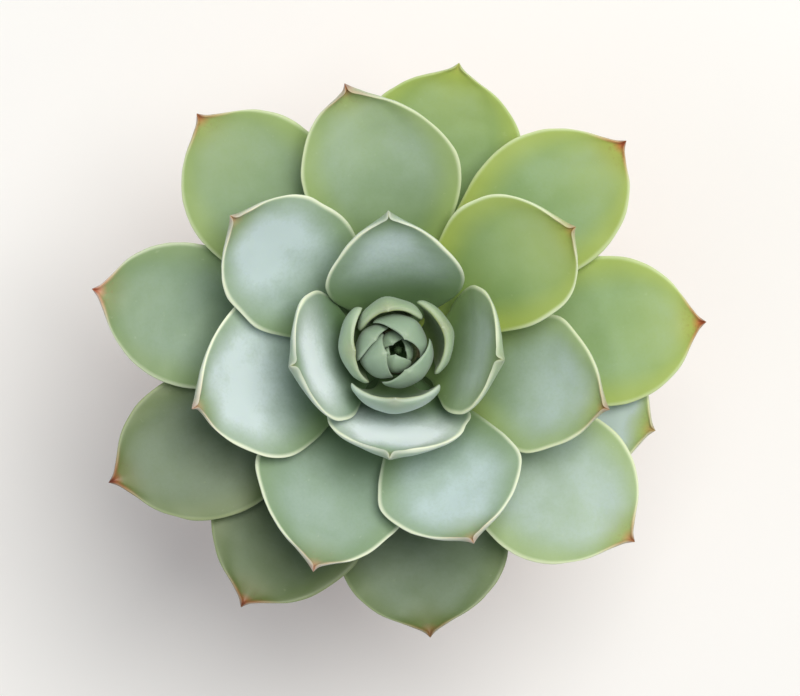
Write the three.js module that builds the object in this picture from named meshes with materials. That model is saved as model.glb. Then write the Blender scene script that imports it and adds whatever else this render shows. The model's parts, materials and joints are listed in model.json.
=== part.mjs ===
// Potted succulent: a rosette of thick pointed leaves on a short stem, rooted in soil in a
// plain clay pot. Millimetres, +Z up. The origin is on the pot's axis, level with its foot.
//
// The rosette is built the way it grows. Every leaf is a grid of points: stations run from
// its base to its tip, and each station is a ring of points round a lens-shaped section.
// Spreading leaves are laid on each other from the lowest to the highest, and the leaves of
// the heart are wrapped round each other from the inside out. Each leaf swells away from
// those already there wherever it would touch them, so no two leaves meet.
import * as THREE from "three";

// ---- Driving dimensions --------------------------------------------------------------

const POT_HEIGHT = 72;
const POT_RIM_RADIUS = 43;
const POT_FOOT_RADIUS = 29.5;
const POT_WALL = 4.2;
const POT_FLOOR = 5.5;
const COLLAR_HEIGHT = 19; // the thicker band under the rim
const COLLAR_STEP = 2.4; // how far the collar stands out from the wall below it
const COLLAR_TAPER = 1; // how much narrower the collar is at its lower edge
const RIM_ROUND = 1.4; // roundness of the pot's edges
const FOOT_RING_WIDTH = 6;
const FOOT_RECESS = 1.6; // how far the bottom is raised inside the foot ring
const DRAIN_RADIUS = 6;

const SOIL_BELOW_RIM = 10;
const SOIL_MOUND = 2; // how much higher the soil is at the stem than at the wall
const FIT_GAP = 0.35; // between pieces that touch
const STEM_RADIUS = 6;
const ROOT_DEPTH = 26;
const ROOT_TIP_RADIUS = 2.2;
const CROWN_ABOVE_RIM = 1.5; // lowest leaf's base above the pot's rim

const HEART_LEAN = [-0.4, -0.4]; // the heart's centre beside the axis

const LEAF_GAP = 0.35; // free height between leaves that lie on each other
const HEART_GAP = 0.4; // free distance between leaves wrapped round each other
const HEART_SEAT = 0.3; // how much higher the heart sits than it has to

const ROUND_SIDES = 48; // sides of the pot's and soil's round surfaces
const STEM_SIDES = 24;

// ---- Small helpers -------------------------------------------------------------------

const radians = THREE.MathUtils.degToRad;
const degrees = THREE.MathUtils.radToDeg;
const lerp = THREE.MathUtils.lerp;
const smooth = (x) => THREE.MathUtils.smoothstep(x, 0, 1);

// A turned solid. The profile of [radius, height] pairs has the solid on its left, and it
// starts and ends on the axis or closes on itself.
function turned(profile, sides) {
  const points = profile.map(([radius, z]) => new THREE.Vector2(radius, z));
  const geometry = new THREE.LatheGeometry(points, sides);
  geometry.rotateX(Math.PI / 2);
  return geometry;
}

// A quarter of a rounded edge, from one direction to another, round its centre.
function rounded(radius, z, round, from, to, steps = 3) {
  return Array.from({ length: steps + 1 }, (_, i) => {
    const angle = radians(lerp(from, to, i / steps));
    return [radius + round * Math.cos(angle), z + round * Math.sin(angle)];
  });
}

// ---- Leaf outline and thickness ------------------------------------------------------

// Stations along a leaf, as shares of its length, with its half width and thickness there
// as shares of the largest. The last stations are drawn in to carry the pointed spine.
const STATIONS = [
  { at: 0.0, width: 0.3, thick: 0.6 },
  { at: 0.18, width: 0.43, thick: 0.8 },
  { at: 0.36, width: 0.72, thick: 0.95 },
  { at: 0.52, width: 0.93, thick: 1.0 },
  { at: 0.65, width: 1.0, thick: 0.95 },
  { at: 0.76, width: 0.93, thick: 0.85 },
  { at: 0.85, width: 0.74, thick: 0.74 },
  { at: 0.915, width: 0.48, thick: 0.62 },
  { at: 0.957, width: 0.2, thick: 0.5 },
  { at: 0.982, width: 0.05, thick: 0.32 },
];
const WIDEST = 0.65; // where the leaf is widest
const ACROSS = 6; // steps from one margin to the other
const RING = 2 * ACROSS; // points round one station
const MIDDLE_COLUMN = ACROSS / 2;
const SECTION_FULLNESS = 0.72; // under 1 makes the margins blunter than an ellipse's
const UPPER_SHARE = 0.36; // of the thickness that lies above the leaf's middle surface

// Position across the leaf, from +1 at one margin to -1 at the other.
const across = (column) => Math.cos((Math.PI * column) / ACROSS);
const lens = (column) => Math.sin((Math.PI * column) / ACROSS) ** SECTION_FULLNESS;

// ---- Middle surface of a spreading leaf ----------------------------------------------

// A leaf's midrib is a quadratic curve in the plane of its azimuth, from its base at the
// stem to its tip. Its margins rise above the midrib by the cup. The belly can sway and
// the tip can hook to the side of larger azimuths.
function spreadingSurface(leaf) {
  const turn = radians(leaf.azimuth);
  const base = new THREE.Vector2(leaf.baseRadius, 0);
  const knee = new THREE.Vector2(leaf.kneeRadius, leaf.kneeHeight);
  const tip = new THREE.Vector2(leaf.reach, leaf.tipHeight);
  const rib = new THREE.QuadraticBezierCurve(base, knee, tip);
  return (at, side, width) => {
    const p = rib.getPoint(at);
    const along = rib.getTangent(at);
    const bend = (leaf.sway ?? 0) * Math.sin(Math.PI * at) + (leaf.hook ?? 0) * at ** 6;
    const out = side * width * leaf.halfWidth + bend;
    const cup = leaf.cup * side * side * smooth(at / 0.5) * (1 - 0.55 * smooth((at - 0.6) / 0.4));
    const radius = p.x - along.y * cup;
    return new THREE.Vector3(
      radius * Math.cos(turn) - out * Math.sin(turn),
      radius * Math.sin(turn) + out * Math.cos(turn),
      p.y + along.x * cup,
    );
  };
}

// ---- Middle surface of a leaf wrapped round the heart --------------------------------

// The leaf lies on a ball round the heart's centre. Its midrib climbs from the foot of the
// ball towards the top, and its sides go round the ball. Towards either margin it can tuck
// inwards, to pass under a neighbour, or flare outwards.
function wrappedSurface(leaf) {
  const turn = radians(leaf.azimuth);
  const sideways = new THREE.Vector3(-Math.sin(turn), Math.cos(turn), 0);
  return (at, side, width) => {
    const polar = radians(lerp(leaf.basePolar, leaf.tipPolar, at));
    const hook = (leaf.hook ?? 0) * at ** 6;
    const round = radians(side * width * leaf.span + hook);
    const rib = new THREE.Vector3(
      Math.sin(polar) * Math.cos(turn),
      Math.sin(polar) * Math.sin(turn),
      Math.cos(polar),
    );
    const share = side * width;
    const tuck = (leaf.tuckLeft ?? 0) * smooth(share) + (leaf.tuckRight ?? 0) * smooth(-share);
    const direction = rib.multiplyScalar(Math.cos(round)).addScaledVector(sideways, Math.sin(round));
    return direction.multiplyScalar(leaf.girth - tuck);
  };
}

// ---- The grid of a leaf --------------------------------------------------------------

// Vertices and triangles of a leaf, with each vertex's station and column. A ring runs
// along the upper face from one margin to the other and back along the under face. A leaf
// can be broader than usual between its base and its belly, and drawn in between its belly
// and its tip.
function leafMesh(leaf, surface) {
  const step = 0.01;
  const vertices = [];
  const places = [];
  STATIONS.forEach(({ at, width: shareOfWidth, thick }, station) => {
    const towardsBelly = Math.min(at / WIDEST, 1);
    const pastBelly = Math.max((at - WIDEST) / (1 - WIDEST), 0);
    const width = shareOfWidth
      + (leaf.broad ?? 0) * 4 * towardsBelly * (1 - towardsBelly)
      - (leaf.drawnIn ?? 0) * 4 * pastBelly * (1 - pastBelly);
    for (let i = 0; i < RING; i++) {
      const isUpper = i <= ACROSS;
      const column = isUpper ? i : RING - i;
      const side = across(column);
      const near = side * 0.96;
      const along = surface(at + step, near, width).sub(surface(at - step, near, width));
      const over = surface(at, near + 0.04, width).sub(surface(at, near - 0.04, width));
      const normal = along.cross(over).normalize();
      const share = isUpper ? UPPER_SHARE : UPPER_SHARE - 1;
      const offset = share * leaf.thickness * thick * lens(column);
      vertices.push(surface(at, side, width).addScaledVector(normal, offset));
      places.push([station, column]);
    }
  });
  const last = STATIONS.length - 1;
  const baseIndex = vertices.push(surface(0, 0, 0)) - 1;
  const tipIndex = vertices.push(surface(1, 0, 0)) - 1;
  places.push([0, MIDDLE_COLUMN], [last, MIDDLE_COLUMN]);
  const faces = [];
  for (let i = 0; i < RING; i++) {
    const next = (i + 1) % RING;
    faces.push([baseIndex, next, i]);
    for (let station = 0; station < last; station++) {
      const a = station * RING + i;
      const b = station * RING + next;
      faces.push([a, b, b + RING], [a, b + RING, a + RING]);
    }
    faces.push([tipIndex, last * RING + i, last * RING + next]);
  }
  return { vertices, faces, places };
}

// ---- Laying leaves clear of each other -----------------------------------------------

// A cover is a sheet of cells that records how far out the laid leaves reach along the ray
// through each cell's middle. onSheet gives a point's place on the sheet and its distance
// out, rayAt gives the ray at a place, and move shifts a point outwards. The first stiff
// stations of a leaf move out together and carry the whole leaf with them.
function makeCover(settings) {
  const size = Math.round((2 * settings.half) / settings.cell);
  return { ...settings, size, reach: new Float64Array(size * size).fill(-Infinity) };
}

// Flat: distance out is height.
const flatSheet = {
  onSheet: (p) => new THREE.Vector3(p.x, p.y, p.z),
  rayAt: (x, y) => ({ from: new THREE.Vector3(x, y, 0), along: new THREE.Vector3(0, 0, 1) }),
  move: (p, distance) => {
    p.z += distance;
  },
};

// Round: distance out is measured from the centre, and a place on the sheet is the angle
// from straight up, in degrees, in the direction of the azimuth.
const roundSheet = {
  onSheet: (p) => {
    const polar = degrees(Math.acos(p.z / p.length()));
    const turn = Math.atan2(p.y, p.x);
    return new THREE.Vector3(polar * Math.cos(turn), polar * Math.sin(turn), p.length());
  },
  rayAt: (x, y) => {
    const polar = radians(Math.hypot(x, y));
    const turn = Math.atan2(y, x);
    const flat = Math.sin(polar);
    const along = new THREE.Vector3(flat * Math.cos(turn), flat * Math.sin(turn), Math.cos(polar));
    return { from: new THREE.Vector3(), along };
  },
  move: (p, distance) => {
    p.setLength(p.length() + distance);
  },
};

// Calls visit(cell index, distance out) for each cell whose ray meets the triangle.
function eachCell(cover, corners, visit) {
  const [a, b, c] = corners.map(cover.onSheet);
  const area = (b.x - a.x) * (c.y - a.y) - (c.x - a.x) * (b.y - a.y);
  if (Math.abs(area) < 1e-9) return;
  const plane = new THREE.Plane().setFromCoplanarPoints(...corners);
  const nearest = Math.min(a.z, b.z, c.z) - cover.gap;
  const farthest = Math.max(a.z, b.z, c.z);
  const cellOf = (v) => Math.floor((v + cover.half) / cover.cell);
  const middleOf = (index) => (index + 0.5) * cover.cell - cover.half;
  const slack = 0.02;
  for (let ix = cellOf(Math.min(a.x, b.x, c.x)) - 1; ix <= cellOf(Math.max(a.x, b.x, c.x)) + 1; ix++) {
    for (let iy = cellOf(Math.min(a.y, b.y, c.y)) - 1; iy <= cellOf(Math.max(a.y, b.y, c.y)) + 1; iy++) {
      const x = middleOf(ix);
      const y = middleOf(iy);
      const u = ((x - a.x) * (c.y - a.y) - (c.x - a.x) * (y - a.y)) / area;
      const v = ((b.x - a.x) * (y - a.y) - (x - a.x) * (b.y - a.y)) / area;
      if (u < -slack || v < -slack || u + v > 1 + slack) continue;
      const ray = cover.rayAt(x, y);
      const distance = -plane.distanceToPoint(ray.from) / plane.normal.dot(ray.along);
      visit(ix * cover.size + iy, THREE.MathUtils.clamp(distance, nearest, farthest));
    }
  }
}

function record(cover, mesh) {
  for (const face of mesh.faces)
    eachCell(cover, face.map((i) => mesh.vertices[i]), (index, distance) => {
      cover.reach[index] = Math.max(cover.reach[index], distance);
    });
}

// The farthest reach in a cell and the cells next to it.
function reachNear(cover, index) {
  let top = -Infinity;
  for (const dx of [-cover.size, 0, cover.size])
    for (const dy of [-1, 0, 1]) top = Math.max(top, cover.reach[index + dx + dy]);
  return top;
}

// How far each station's columns have to move out for the leaf to clear what is recorded.
function movesNeeded(cover, mesh) {
  const need = STATIONS.map(() => new Array(ACROSS + 1).fill(0));
  for (const face of mesh.faces)
    eachCell(cover, face.map((i) => mesh.vertices[i]), (index, distance) => {
      const short = reachNear(cover, index) + cover.gap - distance;
      if (short <= 0) return;
      for (const i of face) {
        const [station, column] = mesh.places[i];
        need[station][column] = Math.max(need[station][column], short);
      }
    });
  return need;
}

// Moves the leaf out in broad swells, the largest first, until each point has its need.
// A swell's breadth is given in stations along the leaf and in columns across it.
const MOST_SWELLS = 400;
function swells(need, swell) {
  const move = need.map((row) => row.map(() => 0));
  for (let round = 0; round < MOST_SWELLS; round++) {
    let worst = { short: 0.005 };
    need.forEach((row, station) =>
      row.forEach((wanted, column) => {
        const short = wanted - move[station][column];
        if (short > worst.short) worst = { short, station, column };
      }),
    );
    if (worst.station === undefined) break;
    move.forEach((row, station) =>
      row.forEach((_, column) => {
        const along = (station - worst.station) / swell.along;
        const over = (column - worst.column) / swell.across;
        row[column] += worst.short * Math.exp(-along * along - over * over);
      }),
    );
  }
  return move;
}

function layLeaf(cover, leaf, surface) {
  const mesh = leafMesh(leaf, surface);
  const lift = Math.max(0, ...movesNeeded(cover, mesh).slice(0, cover.stiff).flat());
  for (const p of mesh.vertices) cover.move(p, lift);
  const move = swells(movesNeeded(cover, mesh), cover.swell);
  mesh.vertices.forEach((p, i) => {
    const [station, column] = mesh.places[i];
    cover.move(p, move[station][column]);
  });
  record(cover, mesh);
  return mesh;
}

// ---- The rosette's whorls ------------------------------------------------------------

// Each whorl gives what its leaves share. The knee and the tip stand above the leaf's own
// base, which starts at the crown and is lifted onto the leaves below.
const OUTER = {
  name: "outer", baseRadius: STEM_RADIUS + FIT_GAP, kneeRadius: 36, kneeHeight: 0, tipHeight: 14,
  halfWidth: 16.5, cup: 2, thickness: 3.2,
};
const MIDDLE = {
  name: "middle", baseRadius: 0.9 * STEM_RADIUS + FIT_GAP, kneeRadius: 28, kneeHeight: 2, tipHeight: 19,
  halfWidth: 14.5, cup: 2.8, thickness: 3,
};
const INNER = {
  name: "inner", baseRadius: 0.8 * STEM_RADIUS + FIT_GAP, kneeRadius: 15, kneeHeight: 2, tipHeight: 21,
  halfWidth: 13, cup: 3, thickness: 2.8, broad: 0.2,
};

// Leaves of the heart lie on balls: girth is the ball's radius, the polar angles are
// measured from straight up, and span is the half width as an angle.
const UPRIGHT = { name: "upright", basePolar: 150, tipPolar: 56, girth: 11.6, span: 48, thickness: 2.4 };
const BUD = { name: "bud", basePolar: 142, tipPolar: 30, girth: 6.9, span: 66, thickness: 1.2 };
const CORE = { name: "core", basePolar: 140, tipPolar: 30, girth: 4, span: 60, thickness: 0.9 };

// Colours of living leaves.
const LIME = 0xa6c073;
const FROSTED = 0xa3bab2;
const SAGE = 0x8eae8a;
const OLIVE = 0x6f8c5c;
const HEART_GREEN = 0x8ba78a;

// Spreading leaves from the lowest to the highest: azimuth in degrees from +X, reach of
// the tip from the axis, and what differs from the whorl.
const SPREADING = [
  { ...OUTER, azimuth: 276.4, reach: 61.5, halfWidth: 18.2, sway: 0.8, tone: OLIVE },
  { ...OUTER, azimuth: 78, reach: 62.4, halfWidth: 18, tone: LIME },
  { ...OUTER, azimuth: 342.6, reach: 57.2, tone: SAGE },
  {
    ...OUTER, azimuth: 238.6, reach: 63.8, halfWidth: 17.5, sway: -1.6, drawnIn: 0.07,
    tone: OLIVE,
  },
  { ...OUTER, azimuth: 5.2, reach: 65.2, halfWidth: 16, tone: LIME },
  { ...OUTER, azimuth: 321, reach: 64, halfWidth: 17, sway: -1.6, tone: SAGE },
  { ...OUTER, azimuth: 204.6, reach: 67, halfWidth: 16, sway: 1.6, tone: OLIVE },
  { ...OUTER, azimuth: 42.5, reach: 65, halfWidth: 15.4, sway: 1.8, tone: LIME },
  { ...OUTER, azimuth: 168.7, reach: 65.4, halfWidth: 15.2, sway: 1.6, tone: FROSTED },
  { ...OUTER, azimuth: 130.4, reach: 64.8, halfWidth: 16.2, sway: 0.6, tone: SAGE },
  {
    ...OUTER, azimuth: 99.5, reach: 56.3, halfWidth: 16.4, sway: -2.8, hook: 1.8, cup: 4.5,
    broad: 0.1, drawnIn: 0.08, tipHeight: 17, tone: SAGE,
  },
  {
    ...MIDDLE, azimuth: 247, reach: 49.3, halfWidth: 16.8, sway: -2, hook: 1.8, drawnIn: 0.1,
    tone: FROSTED,
  },
  {
    ...MIDDLE, azimuth: 345.6, reach: 45.7, halfWidth: 14.8, sway: 0.6, hook: -1.1, drawnIn: 0.12,
    tone: SAGE,
  },
  { ...MIDDLE, azimuth: 291.4, reach: 43, halfWidth: 15.8, sway: 0.2, drawnIn: 0.08, tone: FROSTED },
  {
    ...MIDDLE, azimuth: 189, reach: 44, halfWidth: 16.6, sway: 0.9, hook: 5.4, broad: 0.2,
    drawnIn: 0.12, tone: FROSTED,
  },
  { ...MIDDLE, azimuth: 34.7, reach: 44.6, halfWidth: 14.4, sway: 2.6, broad: 0.1, tone: LIME },
  {
    ...MIDDLE, azimuth: 141.3, reach: 44.3, halfWidth: 14.2, sway: 0.2, broad: 0.16,
    tone: FROSTED,
  },
  { ...INNER, azimuth: 265.5, reach: 22.4, halfWidth: 14.6, sway: 0.9, tone: FROSTED },
  {
    ...INNER, azimuth: 195, reach: 22.2, halfWidth: 13.7, sway: -2.6, hook: -2.6, broad: 0.08,
    tone: FROSTED,
  },
  {
    ...INNER, azimuth: -11, reach: 21.5, halfWidth: 13.4, sway: 2.8, hook: 2.2, broad: 0.08,
    tone: SAGE,
  },
  {
    ...INNER, azimuth: 94, reach: 28.6, halfWidth: 13.7, kneeRadius: 14, cup: 3.6, sway: -0.4,
    drawnIn: 0.13, tone: FROSTED,
  },
];

// Leaves of the heart from the innermost outwards. Left is towards larger azimuths.
const WRAPPED = [
  { ...CORE, azimuth: 190, girth: 2.2, tipPolar: 34, tone: HEART_GREEN },
  { ...CORE, azimuth: 12, girth: 3, tipPolar: 40, tone: HEART_GREEN },
  { ...CORE, azimuth: 115, girth: 3.4, tipPolar: 26, tone: HEART_GREEN },
  { ...CORE, azimuth: 262, girth: 3.8, tipPolar: 6, tone: HEART_GREEN },
  { ...BUD, azimuth: 195, tipPolar: 14, tuckLeft: 1.6, tuckRight: 2.4, hook: -3, tone: HEART_GREEN },
  {
    ...BUD, azimuth: 150, tipPolar: 40, span: 42, thickness: 0.9, tuckRight: 1.4,
    tone: HEART_GREEN,
  },
  { ...BUD, azimuth: 57, tipPolar: 26, span: 70, tuckRight: 1.6, tone: HEART_GREEN },
  { ...BUD, azimuth: -45, tipPolar: 34, span: 68, hook: -12, tone: HEART_GREEN },
  { ...UPRIGHT, azimuth: 101, girth: 10.2, span: 49, tuckLeft: 1.4, tuckRight: 1.5, tone: SAGE },
  {
    ...UPRIGHT, azimuth: 178, girth: 9.5, tipPolar: 60, span: 50, thickness: 2, tuckLeft: 1.2,
    tone: SAGE,
  },
  {
    ...UPRIGHT, azimuth: 18, girth: 11.3, tipPolar: 70, span: 48, hook: 10, tuckRight: 2,
    tone: SAGE,
  },
  { ...UPRIGHT, azimuth: 269, girth: 11.3, span: 54, tone: FROSTED },
];

// ---- Growing the plant ---------------------------------------------------------------

const flatCover = makeCover({
  ...flatSheet, cell: 0.5, half: 80, gap: LEAF_GAP, stiff: 3, swell: { along: 3, across: 4 },
});
const roundCover = makeCover({
  ...roundSheet, cell: 1.5, half: 180, gap: HEART_GAP, stiff: 0, swell: { along: 3, across: 2 },
});
const spreading = SPREADING.map((leaf) => layLeaf(flatCover, leaf, spreadingSurface(leaf)));
const heart = WRAPPED.map((leaf) => layLeaf(roundCover, leaf, wrappedSurface(leaf)));

// The heart settles on the rosette as one: its centre's height above the crown.
const heartNeed = Math.max(...heart.flatMap((mesh) => movesNeeded(flatCover, mesh)).flat());
const heartHeight = heartNeed + HEART_SEAT;
for (const mesh of heart)
  for (const p of mesh.vertices) p.add(new THREE.Vector3(...HEART_LEAN, heartHeight));

const plant = new THREE.Group();
const crown = POT_HEIGHT + CROWN_ABOVE_RIM;
plant.position.z = crown;

function namedMesh(name, geometry, color, roughness) {
  const material = new THREE.MeshStandardMaterial({ color, roughness, metalness: 0 });
  const mesh = new THREE.Mesh(geometry, material);
  mesh.name = name;
  return mesh;
}

const leaves = [...SPREADING, ...WRAPPED];
const leafMeshes = [...spreading, ...heart];
leaves.forEach((leaf, i) => {
  const geometry = new THREE.BufferGeometry();
  const { vertices, faces } = leafMeshes[i];
  const numbers = new Float32Array(vertices.flatMap((p) => [p.x, p.y, p.z]));
  geometry.setAttribute("position", new THREE.BufferAttribute(numbers, 3));
  geometry.setIndex(faces.flat());
  geometry.computeVertexNormals();
  const order = leaves.slice(0, i + 1).filter((other) => other.name === leaf.name).length;
  const name = `${leaf.name}_leaf_${String(order).padStart(2, "0")}`;
  plant.add(namedMesh(name, geometry, leaf.tone, 0.55));
});

// ---- Stem ----------------------------------------------------------------------------

// The stem stands FIT_GAP clear of the leaves' bases at every height, tapers to the growing
// point inside the heart, and goes down through the soil as a tap root.
const soilTop = POT_HEIGHT - SOIL_BELOW_RIM + SOIL_MOUND;
const STEM_STEP = 1.5;
const GROWING_POINT_RADIUS = 0.7;

function clearRadius(z, reachUp) {
  let radius = Infinity;
  for (const mesh of leafMeshes)
    for (const p of mesh.vertices)
      if (Math.abs(p.z + crown - z) < reachUp) radius = Math.min(radius, Math.hypot(p.x, p.y));
  return radius - FIT_GAP;
}

const stemProfile = [
  [0, soilTop - ROOT_DEPTH],
  [ROOT_TIP_RADIUS, soilTop - ROOT_DEPTH + 0.8],
  [lerp(ROOT_TIP_RADIUS, STEM_RADIUS, 0.55), soilTop - 0.5 * ROOT_DEPTH],
  [STEM_RADIUS, soilTop],
];
let stemRadius = STEM_RADIUS;
let stemZ = soilTop + STEM_STEP;
while (stemRadius > GROWING_POINT_RADIUS) {
  stemRadius = Math.min(stemRadius, clearRadius(stemZ, 2 * STEM_STEP));
  if (stemRadius > GROWING_POINT_RADIUS) stemProfile.push([stemRadius, stemZ]);
  stemZ += STEM_STEP;
}
stemProfile.push([0, stemProfile.at(-1)[1] + 0.6]);
const stem = namedMesh("stem", turned(stemProfile, STEM_SIDES), 0x8c9a63, 0.8);

// ---- Pot and soil --------------------------------------------------------------------

const collarFoot = POT_HEIGHT - COLLAR_HEIGHT;
const wallTopRadius = POT_RIM_RADIUS - COLLAR_STEP;
const outerRadius = (z) => lerp(POT_FOOT_RADIUS, wallTopRadius, z / POT_HEIGHT);
const innerRadius = (z) => outerRadius(z) - POT_WALL;
const ringRadius = POT_FOOT_RADIUS - FOOT_RING_WIDTH;
const collarFootRadius = POT_RIM_RADIUS - COLLAR_TAPER;

const potProfile = [
  [DRAIN_RADIUS, FOOT_RECESS],
  [ringRadius - FOOT_RECESS, FOOT_RECESS],
  [ringRadius, 0],
  [POT_FOOT_RADIUS - 1, 0],
  [outerRadius(1), 1],
  [outerRadius(collarFoot), collarFoot],
  ...rounded(collarFootRadius - RIM_ROUND, collarFoot + RIM_ROUND, RIM_ROUND, -90, 0),
  ...rounded(POT_RIM_RADIUS - RIM_ROUND, POT_HEIGHT - RIM_ROUND, RIM_ROUND, 0, 90),
  ...rounded(
    innerRadius(POT_HEIGHT) + RIM_ROUND, POT_HEIGHT - RIM_ROUND, RIM_ROUND, 90, 180,
  ),
  [innerRadius(POT_FLOOR + 3), POT_FLOOR + 3],
  [innerRadius(POT_FLOOR) - 3, POT_FLOOR],
  [DRAIN_RADIUS, POT_FLOOR],
  [DRAIN_RADIUS, FOOT_RECESS],
];
const pot = namedMesh("pot", turned(potProfile, ROUND_SIDES), 0xb8693f, 0.85);

const soilEdge = POT_HEIGHT - SOIL_BELOW_RIM;
const soilRadius = (z) => innerRadius(z) - FIT_GAP;
const soilFloor = POT_FLOOR + FIT_GAP;
const holeRadius = (share) => lerp(ROOT_TIP_RADIUS, STEM_RADIUS, share) + FIT_GAP;
const soilProfile = [
  [0, soilFloor],
  [soilRadius(soilFloor) - 3, soilFloor],
  [soilRadius(soilFloor + 3), soilFloor + 3],
  [soilRadius(soilEdge), soilEdge],
  [lerp(soilRadius(soilEdge), STEM_RADIUS, 0.35), soilEdge + 0.35 * SOIL_MOUND],
  [lerp(soilRadius(soilEdge), STEM_RADIUS, 0.7), soilEdge + 0.8 * SOIL_MOUND],
  [holeRadius(1), soilTop],
  [holeRadius(0.55), soilTop - 0.5 * ROOT_DEPTH],
  [holeRadius(0), soilTop - ROOT_DEPTH + 0.8],
  [holeRadius(0), soilTop - ROOT_DEPTH - FIT_GAP],
  [0, soilTop - ROOT_DEPTH - FIT_GAP],
];
const soil = namedMesh("soil", turned(soilProfile, ROUND_SIDES), 0x4a382b, 1);

const succulent = new THREE.Group();
succulent.add(pot, soil, stem, plant);
export default succulent;
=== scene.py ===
import json
import math
from functools import partial

import bmesh
import bpy
import numpy as np
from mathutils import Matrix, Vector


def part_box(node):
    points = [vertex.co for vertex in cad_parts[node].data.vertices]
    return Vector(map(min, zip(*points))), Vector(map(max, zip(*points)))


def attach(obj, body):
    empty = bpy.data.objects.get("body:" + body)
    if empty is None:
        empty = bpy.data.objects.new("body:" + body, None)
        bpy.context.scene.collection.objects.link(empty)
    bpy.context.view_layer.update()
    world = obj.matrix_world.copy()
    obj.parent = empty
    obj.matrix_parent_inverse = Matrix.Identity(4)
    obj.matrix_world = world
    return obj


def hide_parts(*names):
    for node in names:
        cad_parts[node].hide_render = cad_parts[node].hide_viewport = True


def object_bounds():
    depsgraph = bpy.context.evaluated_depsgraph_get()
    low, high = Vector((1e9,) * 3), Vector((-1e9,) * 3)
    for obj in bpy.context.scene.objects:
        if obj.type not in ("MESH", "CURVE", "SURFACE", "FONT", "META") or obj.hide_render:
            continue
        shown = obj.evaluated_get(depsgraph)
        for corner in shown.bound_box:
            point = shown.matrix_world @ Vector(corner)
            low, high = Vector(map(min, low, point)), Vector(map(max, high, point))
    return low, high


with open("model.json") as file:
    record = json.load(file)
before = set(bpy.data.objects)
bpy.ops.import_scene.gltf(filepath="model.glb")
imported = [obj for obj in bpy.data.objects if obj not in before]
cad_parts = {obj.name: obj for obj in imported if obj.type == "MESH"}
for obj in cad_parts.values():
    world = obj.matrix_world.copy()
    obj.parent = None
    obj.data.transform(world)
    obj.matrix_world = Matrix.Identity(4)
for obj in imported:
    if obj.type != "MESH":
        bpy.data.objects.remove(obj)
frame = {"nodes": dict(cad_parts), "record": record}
CAD_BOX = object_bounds()

# A potted succulent: thirty-three fleshy leaves in a rosette on a short stem, in soil, in a plain clay pot.
# Every leaf is redrawn as a smooth skin over the frame's own leaf, so it keeps that leaf's place and size.

MM = 0.001
WELD = 1e-6  # metres within which two points are one
SLOT_OF = {row["node"]: row["material_slot"] for row in frame["record"]["subparts"]}
LEAF_NODES = sorted(name for name in SLOT_OF if SLOT_OF[name].startswith("leaf_"))
CORE_NODES = [name for name in LEAF_NODES if name.startswith("core_leaf")]
RING = 12  # points in each ring of a leaf's node
AROUND_PER_POINT = 6  # points round a leaf's skin for each of those
ROWS_PER_STATION = 6  # rows along a leaf's skin for each ring


# ---------------------------------------------------------------- small helpers

def linear(hex_colour):
    """An sRGB hex colour as linear red, green, blue and a full alpha."""
    parts = np.array([int(hex_colour[i:i + 2], 16) for i in (0, 2, 4)]) / 255
    toe = parts / 12.92
    curve = ((parts + 0.055) / 1.055) ** 2.4
    return (*np.where(parts <= 0.04045, toe, curve).tolist(), 1.0)


# The nodes that the materials use: a short name for each, its type and its fixed settings.
NODE_KINDS = {
    "place": ("ShaderNodeTexCoord", {}),
    "attribute": ("ShaderNodeAttribute", {}),
    "split": ("ShaderNodeSeparateXYZ", {}),
    "mapping": ("ShaderNodeMapping", {}),
    "noise": ("ShaderNodeTexNoise", {}),
    "cells": ("ShaderNodeTexVoronoi", {}),
    "ramp": ("ShaderNodeMapRange", {"interpolation_type": "SMOOTHSTEP"}),
    "mix": ("ShaderNodeMix", {"data_type": "RGBA"}),
    "times": ("ShaderNodeMath", {"operation": "MULTIPLY"}),
    "plus": ("ShaderNodeMath", {"operation": "ADD"}),
    "times_plus": ("ShaderNodeMath", {"operation": "MULTIPLY_ADD"}),
    "larger": ("ShaderNodeMath", {"operation": "MAXIMUM"}),
    "bump": ("ShaderNodeBump", {}),
    "shader": ("ShaderNodeBsdfPrincipled", {}),
    "output": ("ShaderNodeOutputMaterial", {}),
}

# Numbers of the sockets whose names are shared. A ramp goes from LOW to HIGH (0 and 1 unless given) as its
# value goes from START to STOP, and a mix lays its SHARE of the colour OVER on the colour UNDER.
START, STOP, LOW, HIGH = 1, 2, 3, 4
SHARE, UNDER, OVER = 0, 6, 7
MIXED = 2


def add_node(material, kind, sockets=None, **settings):
    """Adds one node to a material and returns it.

    settings are the node's own properties. sockets are what goes into its inputs, by input name or number:
    a value, another node's output, or a node, which stands for its first output.
    """
    tree = material.node_tree
    type_name, fixed = NODE_KINDS[kind]
    node = tree.nodes.new(type_name)
    for name, value in (fixed | settings).items():
        setattr(node, name, value)
    for name, value in (sockets or {}).items():
        if isinstance(value, bpy.types.Node):
            value = value.outputs[0]
        if isinstance(value, bpy.types.NodeSocket):
            tree.links.new(value, node.inputs[name])
        else:
            node.inputs[name].default_value = value
    return node


def new_material(name):
    """An empty node material, and add_node for that material."""
    material = bpy.data.materials.new(name)
    material.use_nodes = True
    material.node_tree.nodes.clear()
    return material, partial(add_node, material)


def smooth(value, low, high):
    """The smooth step 3t^2 - 2t^3 of t, where t runs from 0 at low to 1 at high."""
    t = np.clip((value - low) / (high - low), 0, 1)
    return t * t * (3 - 2 * t)


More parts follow.
